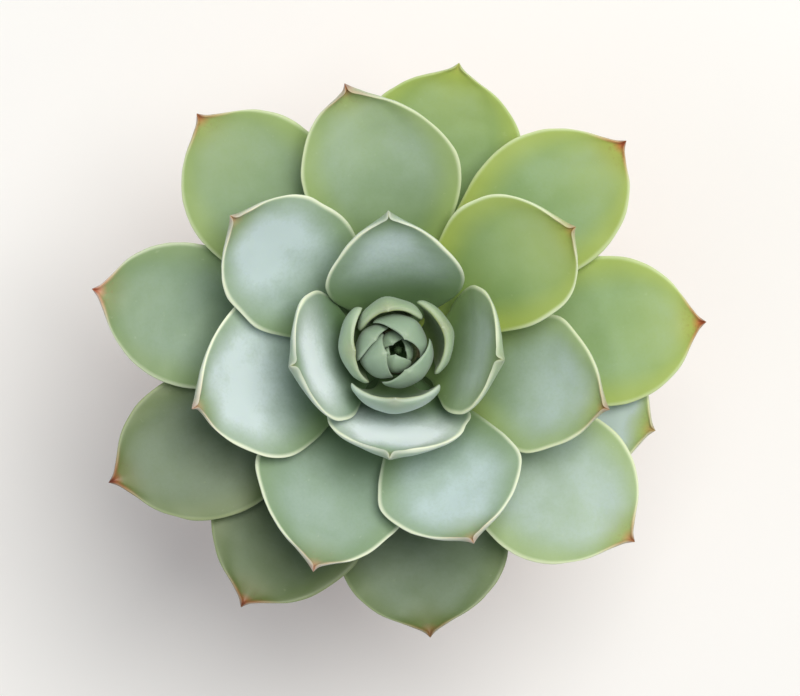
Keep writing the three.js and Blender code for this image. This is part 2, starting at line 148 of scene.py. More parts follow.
def waves(points, size, seed, count=7):
    """The sum of count plane sine waves of about that wavelength, in seeded directions, over sqrt(2 count).

    Most of it lies from -1 to 1.
    """
    rng = np.random.default_rng(seed)
    way = rng.normal(size=(count, 3))
    way /= np.linalg.norm(way, axis=1, keepdims=True)
    turns = 2 * math.pi / (size * rng.uniform(0.7, 1.5, count))
    phase = rng.uniform(0, 2 * math.pi, count)
    return np.sin(points @ (way * turns[:, None]).T + phase).mean(-1) * math.sqrt(count / 2)


def signed_volume(points, faces):
    """Six times the volume inside a closed mesh: the sum over its fanned triangles of a . (b x c)."""
    total = 0.0
    for face_set in faces:
        for k in range(1, face_set.shape[1] - 1):
            a, b, c = (points[face_set[:, j]] for j in (0, k, k + 1))
            total += np.einsum("ij,ij->", a, np.cross(b, c))
    return total


def make_piece(name, points, faces, material, replaced=(), attributes=None, flat=False):
    """Puts points in metres and face arrays into a new mesh, faces outward, and binds it to the frame."""
    if signed_volume(points, faces) < 0:
        faces = [face_set[:, ::-1] for face_set in faces]
    mesh = bpy.data.meshes.new(name)
    mesh.from_pydata(points.tolist(), [], [row for face_set in faces for row in face_set.tolist()])
    mesh.polygons.foreach_set("use_smooth", np.full(len(mesh.polygons), not flat))
    for key, values in (attributes or {}).items():
        layer = mesh.attributes.new(key, "FLOAT", "POINT")
        layer.data.foreach_set("value", np.asarray(values, np.float32).ravel())
    mesh.materials.append(material)
    mesh.update()
    piece = bpy.data.objects.new(name, mesh)
    bpy.context.scene.collection.objects.link(piece)
    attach(piece, "root")
    if replaced:
        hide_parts(*replaced)
    return piece


def merged_mesh(name, tidy=None):
    """A CAD node's points and triangles as arrays, after its coinciding points are merged and tidy(mesh)."""
    work = bmesh.new()
    work.from_mesh(frame["nodes"][name].data)
    bmesh.ops.remove_doubles(work, verts=work.verts, dist=WELD)
    if tidy:
        tidy(work)
    points = np.array([v.co for v in work.verts])
    triangles = np.array([[v.index for v in f.verts] for f in work.faces])
    work.free()
    return points, triangles


# ---------------------------------------------------------------- leaf shape

def heart_centre():
    """The middle of the box round the innermost leaves, which every leaf's upper face looks towards."""
    corners = np.array([[tuple(c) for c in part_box(name)] for name in CORE_NODES])
    return (corners[:, 0].min(0) + corners[:, 1].max(0)) / 2


HEART = heart_centre()


def turn_back(work):
    """Turns back the edges that were turned inside flat patches of a leaf when it was packed.

    A leaf's pattern is RING edges at its two poles, 5 at their neighbours and 6 elsewhere. While turning an
    edge lessens the sum of the squared differences from that, the edge that lessens it most is turned, up
    to RING times.
    """
    poles = sorted(work.verts, key=lambda v: -len(v.link_edges))[:2]
    for _ in range(RING):
        beside = {e.other_vert(p) for p in poles for e in p.link_edges}
        wanted = {v: 6 - (v in beside) for v in work.verts} | dict.fromkeys(poles, RING)
        over = {v: len(v.link_edges) - wanted[v] for v in work.verts}
        gains = {}
        for edge in work.edges:
            ends = edge.verts
            facing = [v for face in edge.link_faces for v in face.verts if v not in ends]
            gains[edge] = sum(2 * over[v] - 1 for v in ends) - sum(2 * over[v] + 1 for v in facing)
        best = max(gains, key=gains.get)
        if gains[best] <= 0:
            break
        bmesh.ops.rotate_edges(work, edges=[best])
        work.verts.index_update()


def leaf_stations(name):
    """A CAD leaf as knots along it: its base pole, its rings in order, its tip pole, each with RING points.

    Rings are the points at equal edge distance from the base pole, and a ring's point i is the shared
    neighbour of points i - 1 and i of the ring before it. Points 0 to 6 run along the upper face.
    """
    points, triangles = merged_mesh(name, turn_back)
    joined = np.zeros((len(points),) * 2, bool)
    for k in range(3):
        joined[triangles[:, k], triangles[:, k - 1]] = True
    joined |= joined.T
    poles = np.argsort(-joined.sum(1), kind="stable")[:2]
    reach = np.hypot(points[poles, 0], points[poles, 1]) + points[poles, 2]
    base, tip = poles[np.argsort(reach)]

    fan = triangles[(triangles == base).any(1)]
    turn = (fan == base).argmax(1)
    after = np.full(len(points), -1)
    rows = np.arange(len(fan))
    after[fan[rows, (turn + 2) % 3]] = fan[rows, (turn + 1) % 3]
    ring = [int(fan[0, (turn[0] + 1) % 3])]
    while len(ring) < RING:
        ring.append(int(after[ring[-1]]))
    rings = [np.array(ring)]
    used = np.zeros(len(points), bool)
    used[[base, tip]] = True
    while not joined[tip, rings[-1]].all():
        used[rings[-1]] = True
        shared = joined[rings[-1]] & joined[np.roll(rings[-1], 1)] & ~used
        rings.append(shared.argmax(1))
    grid = points[np.array(rings)]

    spans = np.linalg.norm(grid - np.roll(grid, -RING // 2, axis=1), axis=2)[:, :RING // 2]
    widest = spans.max(1).argmax()
    grid = np.roll(grid, -int(spans[widest].argmax()), axis=1)
    away = np.linalg.norm(grid - HEART, axis=2)
    if away[:, 1:RING // 2].mean() > away[:, RING // 2 + 1:].mean():
        grid = np.roll(grid, -RING // 2, axis=1)
    ends = [np.repeat(points[pole][None, None], RING, axis=1) for pole in (base, tip)]
    return np.concatenate([ends[0], grid, ends[1]])


def round_ring(knots):
    """Closed Catmull-Rom splines through each ring: cubic blends of the four nearest points."""
    count = knots.shape[1]
    samples = count * AROUND_PER_POINT
    place = np.arange(samples) / AROUND_PER_POINT
    cell = place.astype(int)
    t = (place - cell)[:, None]
    blends = np.hstack([
        -0.5 * t**3 + t**2 - 0.5 * t,
        1.5 * t**3 - 2.5 * t**2 + 1,
        -1.5 * t**3 + 2 * t**2 + 0.5 * t,
        0.5 * t**3 - 0.5 * t**2,
    ])
    weights = np.zeros((samples, count))
    for k in range(4):
        np.add.at(weights, (np.arange(samples), (cell + k - 1) % count), blends[:, k])
    return np.einsum("sc,kcx->ksx", weights, knots)


def along_leaf(knots, steps):
    """Cubic Hermite curves from base to tip, with the knots spaced by the distance between ring centres.

    The slope at a knot is the mean of the slopes on its two sides, each weighted by the other's length.
    Returns the rows and how far along the leaf each lies, from 0 to 1.
    """
    centres = knots.mean(1)
    gaps = np.linalg.norm(np.diff(centres, axis=0), axis=1)
    place = np.concatenate([[0], np.cumsum(gaps)])
    side = np.diff(knots, axis=0) / gaps[:, None, None]
    near, far = gaps[:-1, None, None], gaps[1:, None, None]
    middle = (side[:-1] * far + side[1:] * near) / (near + far)
    slope = np.concatenate([side[:1], middle, side[-1:]])
    t = (np.arange(steps) / steps)[None, :, None, None]
    h = gaps[:, None, None, None]
    rows = ((2 * t**3 - 3 * t**2 + 1) * knots[:-1, None] + (t**3 - 2 * t**2 + t) * h * slope[:-1, None]
            + (3 * t**2 - 2 * t**3) * knots[1:, None] + (t**3 - t**2) * h * slope[1:, None])
    rows = np.concatenate([rows.reshape(-1, *knots.shape[1:]), knots[-1:]])
    where = (place[:-1, None] + gaps[:, None] * (np.arange(steps) / steps)).ravel()
    return rows, np.append(where, place[-1]) / place[-1]


def grid_normals(rows):
    """Outward directions on a closed grid: the cross product of the steps round it and along it."""
    round_step = np.roll(rows, -1, axis=1) - np.roll(rows, 1, axis=1)
    long_step = np.gradient(rows, axis=0)
    normal = np.cross(round_step, long_step)
    return normal / np.maximum(np.linalg.norm(normal, axis=2, keepdims=True), 1e-12)


# The relief of a leaf's skin, heights and lengths in millimetres: (wavelength, height) of its waves, the lip
# that follows its margin, the groove on its upper face and the keel on its under face.
LEAF_WAVES = ((9.0, 0.10), (3.5, 0.04))
LIP_HEIGHT, LIP_AT, LIP_SPREAD = 0.02, 1.0, 0.7
GROOVE_DEPTH, KEEL_HEIGHT = 0.07, 0.22
KEEL_SPREAD = 0.16  # as a share of the way from the middle to the margin
# Where groove and keel rise and where all relief fades, as shares of the leaf's length from its base.
KEEL_RISE, BASE_FADE, TIP_FADE = (0.45, 0.85), (0.0, 0.12), (0.90, 0.99)


def leaf_piece(name, material, seed):
    """One leaf: the smooth skin through its stations, moved along its normals by a small relief.

    The relief is the sum of its waves, plus a lip, a bell curve of the distance from the margin, less a
    groove on the upper face, and plus a keel on the under face, bell curves of the distance from the
    middle. It fades out at both ends.
    """
    knots = round_ring(leaf_stations(name))
    foot = knots[0, 0]
    rows, along = along_leaf(knots[1:], ROWS_PER_STATION)
    count = rows.shape[1]
    half = count // 2
    j = np.arange(count)
    upper = np.where((j > 0) & (j < half), 1.0, 0.0)
    upper[[0, half]] = 0.5
    across = np.abs(1 - 2 * np.where(j <= half, j, count - j) / half)[None]
    steps = np.linalg.norm(np.roll(rows, -1, axis=1) - rows, axis=2)
    reached = np.cumsum(steps, axis=1) - steps
    total = steps.sum(1, keepdims=True)
    to_start = np.minimum(reached, total - reached)
    edge = np.minimum(to_start, np.abs(reached - reached[:, half:half + 1])) / MM
    to_tip = np.linalg.norm(rows - rows[-1:, :1], axis=2) / MM

    tipward = smooth(along, *KEEL_RISE)[:, None]
    ends = (smooth(along, *BASE_FADE) * (1 - smooth(along, *TIP_FADE)))[:, None]
    middle = np.exp(-(across / KEEL_SPREAD) ** 2) * tipward
    lip = LIP_HEIGHT * np.exp(-((edge - LIP_AT) / LIP_SPREAD) ** 2)
    lift = sum(high * waves(rows / MM, size, seed + k) for k, (size, high) in enumerate(LEAF_WAVES))
    lift += np.where(upper[None] > 0, lip - GROOVE_DEPTH * middle, KEEL_HEIGHT * middle)
    rows = rows + grid_normals(rows) * (lift * ends * MM)[..., None]

    body = rows[:-1].reshape(-1, 3)
    points = np.concatenate([body, foot[None], rows[-1:, 0]])
    inner = len(rows) - 1
    k, i = np.meshgrid(np.arange(inner - 1), j, indexing="ij")
    a, b = k * count + i, k * count + (i + 1) % count
    quads = np.stack([a, b, b + count, a + count], -1).reshape(-1, 4)
    base, tip, last = len(body), len(body) + 1, (inner - 1) * count
    fans = np.concatenate([
        np.stack([np.full(count, base), (j + 1) % count, j], -1),
        np.stack([np.full(count, tip), last + j, last + (j + 1) % count], -1),
    ])
    spread = {"along": along[:, None], "upper": upper[None], "edge_mm": edge, "tip_mm": to_tip}
    spread |= dict(zip(LOOK_NAMES, LEAF_LOOK[name]))
    attributes = {}
    for key, value in spread.items():
        value = np.broadcast_to(value, rows.shape[:2])
        attributes[key] = np.concatenate([value[:-1].ravel(), value[:1, 0], value[-1:, 0]])
    return make_piece("skin_" + name, points, [quads, fans], material, [name], attributes)


# How each leaf looks. dust is the strength of its powdery bloom, and frost_and_light how white that lies,
# partly whiter wax and partly painted light on faces turned towards the lamp; blush is the red at its tip;
# sun is the yellow in its flesh; rim is the strength of its pale margin, partly its own tone and partly
# painted light shining through it; painted_shade is painted shade, how far its colour darkens all over
# towards the shade green, on the leaves that get less light.
LOOK_NAMES = ("dust", "frost_and_light", "blush", "sun", "rim", "painted_shade")
LEAF_LOOK = {
    "outer_leaf_01": (0.55, 0.0, 0.45, 0.30, 0.30, 0.26),
    "outer_leaf_02": (0.35, 0.0, 0.10, 0.60, 0.35, 0.10),
    "outer_leaf_03": (1.30, 0.2, 0.40, 1.00, 0.60, 0.00),
    "outer_leaf_04": (0.45, 0.0, 0.80, 0.50, 0.30, 0.50),
    "outer_leaf_05": (0.40, 0.0, 1.00, 0.60, 0.50, 0.06),
    "outer_leaf_06": (0.75, 0.1, 0.70, 0.50, 0.80, 0.00),
    "outer_leaf_07": (0.60, 0.0, 0.90, 0.50, 0.40, 0.32),
    "outer_leaf_08": (0.45, 0.0, 1.00, 0.75, 0.60, 0.14),
    "outer_leaf_09": (0.38, 0.0, 1.00, 0.80, 0.45, 0.36),
    "outer_leaf_10": (0.34, 0.0, 0.75, 0.70, 0.50, 0.24),
    "outer_leaf_11": (0.40, 0.0, 0.75, 0.50, 0.75, 0.00),
    "middle_leaf_01": (0.52, 0.0, 0.60, 0.25, 0.80, 0.26),
    "middle_leaf_02": (0.82, 0.0, 0.60, 0.50, 0.85, 0.08),
    "middle_leaf_03": (0.95, 0.0, 0.45, 0.30, 0.85, 0.06),
    "middle_leaf_04": (1.10, 0.4, 0.50, 0.30, 1.00, 0.08),
    "middle_leaf_05": (0.30, 0.0, 0.45, 0.55, 1.00, 0.00),
    "middle_leaf_06": (1.05, 0.1, 0.40, 0.40, 0.90, 0.08),
    # The first two inner leaves face the lamp. Their whiter, thicker bloom is partly painted light.
    "inner_leaf_01": (1.35, 1.0, 0.10, 0.00, 0.90, 0.00),
    "inner_leaf_02": (1.10, 0.8, 0.08, 0.00, 0.90, 0.00),
    "inner_leaf_03": (0.60, 0.1, 0.08, 0.10, 0.90, 0.00),
    "inner_leaf_04": (0.75, 0.1, 0.08, 0.10, 0.90, 0.00),
    "upright_leaf_01": (0.45, 0.0, 0.10, 0.15, 0.30, 0.00),
    "upright_leaf_02": (0.60, 0.2, 0.10, 0.10, 0.35, 0.10),
    "upright_leaf_03": (0.50, 0.0, 0.10, 0.15, 0.30, 0.00),
    "upright_leaf_04": (0.80, 0.6, 0.10, 0.10, 0.35, 0.00),
    "bud_leaf_01": (0.40, 0.0, 0.05, 0.15, 0.22, 0.15),
    "bud_leaf_02": (0.40, 0.0, 0.05, 0.15, 0.22, 0.25),
    "bud_leaf_03": (0.35, 0.0, 0.05, 0.15, 0.22, 0.15),
    "bud_leaf_04": (0.40, 0.0, 0.05, 0.15, 0.22, 0.15),
    "core_leaf_01": (0.20, 0.0, 0.00, 0.30, 0.20, 0.20),
    "core_leaf_02": (0.20, 0.0, 0.00, 0.30, 0.20, 0.20),
    "core_leaf_03": (0.25, 0.0, 0.00, 0.25, 0.20, 0.20),
    "core_leaf_04": (0.25, 0.0, 0.00, 0.25, 0.20, 0.20),
}


# ---------------------------------------------------------------- leaf material

# The white of the whitest bloom. Where it lies, it is partly whiter wax and partly painted light.
FROST_AND_LIGHT_WHITE = "e6f1f3"


def leaf_skin(slot, flesh, shade, yellow, bloom, rim, blush, spine):
    """Succulent leaf skin, grown, with a wax bloom.

    The waxy flesh is satin and slightly translucent, darker at the base and yellower towards the rim and
    the tip; the darker base is partly its own tone and partly painted shade where the leaves above overlap
    it. Powdery bloom lies over it in soft patches about 9 mm across, thinner at the base, the rim and the
    tip, and on some leaves it is whitened, partly as painted light. Its grain is drawn 0.7 mm across, much
    coarser than real wax, so that it shows. The rim is a pale line about 1 mm wide, partly the margin's own
    tone and partly painted light shining through it, and the tip's blush runs back along it. The under face
    is paler. Whole leaves are darkened towards the shade green as painted shade, as far as each leaf asks.
    """
    material, node = new_material("waxy_leaf_" + slot)
    place = node("place").outputs["Object"]
    along, edge, tip, upper, dust, frost_and_light, blushing, sun, rim_share, painted_shade = (
        node("attribute", attribute_name=key).outputs["Fac"]
        for key in ("along", "edge_mm", "tip_mm", "upper", *LOOK_NAMES))
    patches = node("noise", {"Vector": place, "Scale": 1 / (9 * MM), "Detail": 3.0, "Roughness": 0.5})
    grain = node("noise", {"Vector": place, "Scale": 1 / (0.7 * MM), "Detail": 4.0, "Roughness": 0.6})
    specks = node("noise", {"Vector": place, "Scale": 1 / (1.8 * MM), "Detail": 2.0, "Roughness": 0.7})

    # Flesh: darker green towards the base, partly its own tone and partly painted shade where leaves above
    # overlap it.
    from_base = node("ramp", {"Value": along, START: 0.28, STOP: 0.80})
    near_rim = node("ramp", {"Value": edge, START: 9.0, STOP: 0.8})
    near_tip = node("ramp", {"Value": tip, START: 24.0, STOP: 4.0})
    outward = node("larger", {0: near_rim, 1: near_tip})
    glow = node("times_plus", {0: patches, 1: 0.5, 2: outward})
    sunny = node("times", {0: glow, 1: sun}, use_clamp=True)

    # Bloom, whitened on some leaves partly as painted light.
    off_base = node("ramp", {"Value": along, START: 0.22, STOP: 0.70})
    waist = node("times", {0: off_base, 1: node("ramp", {"Value": tip, START: 1.5, STOP: 9.0})})
    inside = node("ramp", {"Value": edge, START: 0.5, STOP: 9.0, LOW: 0.3})
    patchy = node("ramp", {"Value": patches, START: 0.30, STOP: 0.68, LOW: 0.76, HIGH: 1.10})
    powder = node("ramp", {"Value": grain, START: 0.30, STOP: 0.62, LOW: 0.92, HIGH: 1.04})
    laid = node("times", {0: node("times", {0: waist, 1: inside}), 1: node("times", {0: patchy, 1: powder})})
    cover = node("times", {0: laid, 1: dust}, use_clamp=True)
    white = node("times", {0: frost_and_light, 1: waist})
    powder_and_light = node("mix", {SHARE: white, UNDER: linear(bloom), OVER: linear(FROST_AND_LIGHT_WHITE)}).outputs[MIXED]

    # Pale specks, and the pale rim, partly the margin's own tone and partly painted light shining through it.
    fleck = node("times", {0: node("ramp", {"Value": specks, START: 0.68, STOP: 0.76}), 1: 0.07})
    margin = node("ramp", {"Value": edge, START: 1.15, STOP: 0.2})
    margin = node("times", {0: margin, 1: node("ramp", {"Value": along, START: 0.25, STOP: 0.6})})
    margin = node("times", {0: margin, 1: node("ramp", {"Value": tip, START: 0.5, STOP: 6.0, LOW: 0.4})})
    line = node("times", {0: margin, 1: rim_share})

    # The tip's blush, its dark spine and the dots beside it.
    red_reach = node("ramp", {"Value": tip, START: 10.0, STOP: 1.5, HIGH: 0.8})
    red_rim = node("ramp", {"Value": edge, START: 1.8, STOP: 0.2, LOW: 0.12})
    red_tip = node("ramp", {"Value": tip, START: 3.9, STOP: 1.0})
    red = node("larger", {0: node("times", {0: red_reach, 1: red_rim}), 1: red_tip})
    red = node("times", {0: red, 1: blushing}, use_clamp=True)
    spiny = node("times", {0: node("ramp", {"Value": tip, START: 2.2, STOP: 0.6}), 1: blushing})
    dots = node("ramp", {"Value": grain, START: 0.54, STOP: 0.62})
    dots = node("times", {0: dots, 1: node("ramp", {"Value": tip, START: 8.0, STOP: 2.0})})
    dots = node("times", {0: dots, 1: node("times", {0: blushing, 1: 0.2})})
    dark = node("larger", {0: spiny, 1: dots})
    under = node("ramp", {"Value": upper, START: 0.9, STOP: 0.1, HIGH: 0.3})

    # The colours laid one over another, from the flesh up. The painted_shade layer is painted shade: it
    # darkens the whole leaf towards the shade green.
    colour = linear(shade)
    for share, tint in (
            (from_base, linear(flesh)), (sunny, linear(yellow)), (cover, powder_and_light), (painted_shade, linear(shade)),
            (fleck, linear(rim)), (line, linear(rim)), (red, linear(blush)), (dark, linear(spine)),
            (under, linear(bloom))):
        colour = node("mix", {SHARE: share, UNDER: colour, OVER: tint}).outputs[MIXED]

    rough = node("ramp", {"Value": cover, STOP: 0.9, LOW: 0.40, HIGH: 0.62})
    dents = node("plus", {0: node("times", {0: patches, 1: 0.6}), 1: node("times", {0: grain, 1: 0.05})})
    bump = node("bump", {"Height": dents, "Strength": 0.35, "Distance": 0.35 * MM})
    shader = node("shader", {
        "Base Color": colour, "Roughness": rough, "IOR": 1.42, "Normal": bump,
        "Subsurface Weight": 0.12, "Subsurface Radius": (0.8, 1.0, 0.4), "Subsurface Scale": 1.6 * MM,
        "Sheen Weight": 0.12, "Sheen Roughness": 0.5})
    node("output", {"Surface": shader})
    return material


# The colours of the five kinds of leaf: flesh, shade, yellow, bloom, rim, blush and spine. shade is the
# darker green of the base and the green of painted shade, and rim is partly painted light.
LEAF_COLOURS = {
    "lime": ("86a556", "6a8a4a", "b2c258", "adc9b2", "dfecc2", "bd6a36", "86401f"),
    "frosted": ("84a07a", "56724a", "8aa364", "bfd3d4", "ebf3d8", "d2967a", "a0583c"),
    "sage": ("8aa570", "5f7c48", "a3b968", "b4c8c4", "dfe9c4", "bf7648", "854626"),
    # The olive leaves lie towards the lower left, away from the lamp. Their darker flesh and shade are partly
    # painted shade.
    "olive": ("5a6f3f", "384a25", "74883f", "93a496", "b9c49c", "a05434", "632c1b"),
    "heart": ("829d80", "547250", "9ab380", "b0c6ba", "d2dfcb", "cdc29c", "b9a77c"),
}
LEAF_SKINS = {"leaf_" + slot: leaf_skin(slot, *colours) for slot, colours in LEAF_COLOURS.items()}


# ---------------------------------------------------------------- turned pieces: pot, soil, stem

def meridian(name):
    """The outline (radius, height) that a turned node was turned from, and whether it is a closed ring.

    It is read from the mesh's points with y = 0 and x >= 0 and walked from neighbour to neighbour. A flat
    face may have lost its edge, so the walk goes on at the free end whose height is nearest.
    """
    points, triangles = merged_mesh(name)
    on = (np.abs(points[:, 1]) < WELD) & (points[:, 0] > -WELD)
    edges = np.concatenate([triangles[:, [0, 1]], triangles[:, [1, 2]], triangles[:, [2, 0]]])
    left = np.unique(np.sort(edges[on[edges].all(1)], axis=1), axis=0)
    counts = np.bincount(left.ravel(), minlength=len(points))
    free = [int(k) for k in np.flatnonzero(counts == 1)]
    walk = [min(free, key=lambda k: (points[k, 2], points[k, 0])) if free else int(left[0, 0])]
    while len(left):
        here = (left == walk[-1]).any(1)
        if here.any():
            row = int(here.argmax())
            walk.append(int(left[row].sum() - walk[-1]))
            left = np.delete(left, row, axis=0)
        else:
            ends = [k for k in free if k not in walk]
            walk.append(min(ends, key=lambda k: abs(points[k, 2] - points[walk[-1], 2])))
    outline = points[walk][:, [0, 2]]
    closed = abs(outline[0, 1] - outline[-1, 1]) < WELD
    if closed and walk[0] != walk[-1]:
        outline = np.concatenate([outline, outline[:1]])
    if not closed:
        ends = outline[[0, -1]] * [0, 1]
        outline = np.concatenate([ends[:1], outline, ends[1:]])
    return outline, closed


def even_outline(outline, step, rounding):
    """The outline with points about one step apart, its corners softened by averaging neighbours."""
    lengths = np.linalg.norm(np.diff(outline, axis=0), axis=1)
    place = np.concatenate([[0], np.cumsum(lengths)])
    count = max(8, int(round(place[-1] / step)))
    at = np.linspace(0, place[-1], count + 1)
    fine = np.stack([np.interp(at, place, outline[:, k]) for k in range(2)], -1)
    closed = np.allclose(outline[0], outline[-1], atol=WELD)
    fine = fine[:-1] if closed else fine
    for _ in range(rounding):
        mean = (np.roll(fine, 1, axis=0) + np.roll(fine, -1, axis=0)) / 2
        if not closed:
            mean[[0, -1]] = fine[[0, -1]]
        fine = (fine + mean) / 2
    return fine


def turned(outline, sides, closed):
    """Turns the outline round z: point (i, j) is (r cos a, r sin a, z). An open outline ends in two poles."""
    angle = np.arange(sides) * 2 * math.pi / sides
    body = outline if closed else outline[1:-1]
    points = np.stack([
        body[:, :1] * np.cos(angle), body[:, :1] * np.sin(angle),
        body[:, 1:] * np.ones((1, sides))], -1)
    rows = len(body)
    i, j = np.meshgrid(np.arange(rows if closed else rows - 1), np.arange(sides), indexing="ij")
    a, b = i * sides + j, i * sides + (j + 1) % sides
    step = np.stack([a, b, ((i + 1) % rows) * sides + (j + 1) % sides, ((i + 1) % rows) * sides + j], -1)
    faces = [step.reshape(-1, 4)]
    flat = points.reshape(-1, 3)
    if not closed:
        ring = np.arange(sides)
        last = (rows - 1) * sides
        first_pole, last_pole = len(flat), len(flat) + 1
        flat = np.concatenate([flat, [[0, 0, outline[0, 1]]], [[0, 0, outline[-1, 1]]]])
        faces.append(np.concatenate([
            np.stack([np.full(sides, first_pole), (ring + 1) % sides, ring], -1),
            np.stack([np.full(sides, last_pole), last + ring, last + (ring + 1) % sides], -1),
        ]))
    return flat, faces


def pushed_out(points, amount):
    """Moves each point away from the axis by amount."""
    radius = np.hypot(points[:, 0], points[:, 1])
    share = 1 + amount / np.maximum(radius, 1e-6)
    return points * np.stack([share, share, np.ones_like(share)], -1)


# ---------------------------------------------------------------- materials of pot, soil and stem

def terracotta():
    """Unglazed fired clay, turned on a wheel: matt, dusty orange.

    It is clouded in patches about 22 mm across, with turning lines 1.6 mm apart and dark grit about 1 mm
    across. A pale bloom of lime gathers at the foot and the rim in patches about 7 mm across.
    """
    material, node = new_material("terracotta_unglazed")
    place = node("place").outputs["Object"]
    height = node("split", {"Vector": place}).outputs["Z"]
    lines = node("mapping", {"Vector": place, "Scale": (0.12, 0.12, 1.0)})
    cloud = node("noise", {"Vector": place, "Scale": 1 / (22 * MM), "Detail": 5.0, "Roughness": 0.6})
    grit = node("noise", {"Vector": place, "Scale": 1 / (0.9 * MM), "Detail": 4.0, "Roughness": 0.65})
    turning = node("noise", {"Vector": lines, "Scale": 1 / (1.6 * MM), "Detail": 3.0, "Roughness": 0.5})
    salts = node("noise", {"Vector": place, "Scale": 1 / (7 * MM), "Detail": 7.0, "Roughness": 0.72})

    low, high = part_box("pot")
    foot = node("ramp", {"Value": height, START: low.z + 20 * MM, STOP: low.z + 1 * MM})
    rim = node("ramp", {"Value": height, START: high.z - 10 * MM, STOP: high.z, HIGH: 0.8})
    damp = node("ramp", {"Value": node("larger", {0: foot, 1: rim}), LOW: 0.16, HIGH: 0.85})
    bloom = node("times", {0: node("ramp", {"Value": salts, START: 0.42, STOP: 0.66}), 1: damp})

    colour = linear("b5643f")
    for share, tint in (
            (node("ramp", {"Value": cloud, START: 0.32, STOP: 0.68}), "c98059"),
            (node("ramp", {"Value": turning, START: 0.4, STOP: 0.7, HIGH: 0.35}), "d59a74"),
            (node("ramp", {"Value": grit, START: 0.62, STOP: 0.75, HIGH: 0.5}), "8d4a2e"),
            (bloom, "dfcdb9")):
        colour = node("mix", {SHARE: share, UNDER: colour, OVER: linear(tint)}).outputs[MIXED]
    rough = node("ramp", {"Value": cloud, LOW: 0.82, HIGH: 0.94})
    dents = node("plus", {0: node("times", {0: turning, 1: 0.7}), 1: node("times", {0: grit, 1: 0.5})})
    bump = node("bump", {"Height": dents, "Strength": 0.5, "Distance": 0.3 * MM})
    shader = node("shader", {"Base Color": colour, "Roughness": rough, "IOR": 1.5, "Normal": bump})
    node("output", {"Surface": shader})
    return material


def potting_mix():
    """Peaty potting mix, loose: dark brown crumbs about 1 mm across with paler fibres, quite matt."""
    material, node = new_material("peat_potting_mix")
    place = node("place").outputs["Object"]
    crumbs = node("cells", {"Vector": place, "Scale": 1 / (1.3 * MM)}).outputs["Distance"]
    clods = node("noise", {"Vector": place, "Scale": 1 / (5 * MM), "Detail": 6.0, "Roughness": 0.7})
    fibre = node("noise", {"Vector": place, "Scale": 1 / (0.6 * MM), "Detail": 3.0, "Distortion": 2.5})
    colour = linear("2c2019")
    for share, tint in (
            (node("ramp", {"Value": clods, START: 0.3, STOP: 0.7}), "54402f"),
            (node("ramp", {"Value": fibre, START: 0.6, STOP: 0.78, HIGH: 0.7}), "7d6248")):
        colour = node("mix", {SHARE: share, UNDER: colour, OVER: linear(tint)}).outputs[MIXED]
    bump = node("bump", {"Height": crumbs, "Strength": 0.8, "Distance": 0.6 * MM})
    shader = node("shader", {"Base Color": colour, "Roughness": 0.95, "IOR": 1.4, "Normal": bump})
    node("output", {"Surface": shader})
    return material


def crumb_stone(name, dark, pale, rough):
    """Mineral or bark crumb, broken: two tones in patches about 1 mm across, with a dusty matt face."""
    material, node = new_material(name)
    place = node("place").outputs["Object"]
    tone = node("noise", {"Vector": place, "Scale": 1 / (1.1 * MM), "Detail": 5.0, "Roughness": 0.7})
    share = node("ramp", {"Value": tone, START: 0.35, STOP: 0.65})
    colour = node("mix", {SHARE: share, UNDER: linear(dark), OVER: linear(pale)}).outputs[MIXED]
    bump = node("bump", {"Height": tone, "Strength": 0.5, "Distance": 0.3 * MM})
    shader = node("shader", {"Base Color": colour, "Roughness": rough, "IOR": 1.5, "Normal": bump})
    node("output", {"Surface": shader})
    return material


def stem_bark():
    """Corky succulent stem, grown: grey-brown bark with fine cracks and greenish patches, dull satin.

    Its young top, the last 14 mm, turns green.
    """
    material, node = new_material("corky_stem")
    place = node("place").outputs["Object"]
    height = node("split", {"Vector": place}).outputs["Z"]
    stretch = node("mapping", {"Vector": place, "Scale": (1.0, 1.0, 0.35)})
    cork = node("noise", {"Vector": stretch, "Scale": 1 / (1.5 * MM), "Detail": 6.0, "Roughness": 0.7})
    green = node("noise", {"Vector": place, "Scale": 1 / (6 * MM), "Detail": 3.0})
    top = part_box("stem")[1].z
    colour = linear("6b5a44")
    for share, tint in (
            (node("ramp", {"Value": cork, START: 0.35, STOP: 0.65}), "a8987a"),
            (node("ramp", {"Value": green, START: 0.5, STOP: 0.7, HIGH: 0.6}), "7f8f5c"),
            (node("ramp", {"Value": height, START: top - 14 * MM, STOP: top - 6 * MM}), "4f6c45")):
        colour = node("mix", {SHARE: share, UNDER: colour, OVER: linear(tint)}).outputs[MIXED]
    bump = node("bump", {"Height": cork, "Strength": 0.7, "Distance": 0.4 * MM})
    shader = node("shader", {"Base Color": colour, "Roughness": 0.8, "IOR": 1.45, "Normal": bump})
    node("output", {"Surface": shader})
    return material


# ---------------------------------------------------------------- pot, soil, stem

POT_SIDES, STEM_SIDES = 144, 72
POT_STEP, SOIL_STEP, STEM_STEP = 1.0 * MM, 0.8 * MM, 0.6 * MM  # between rows of points
SOIL_FALL = 2 * MM  # from the middle of the soil's top to its edge
STEM_MARGIN, POT_MARGIN = 2 * MM, 2.2 * MM  # kept free of crumbs


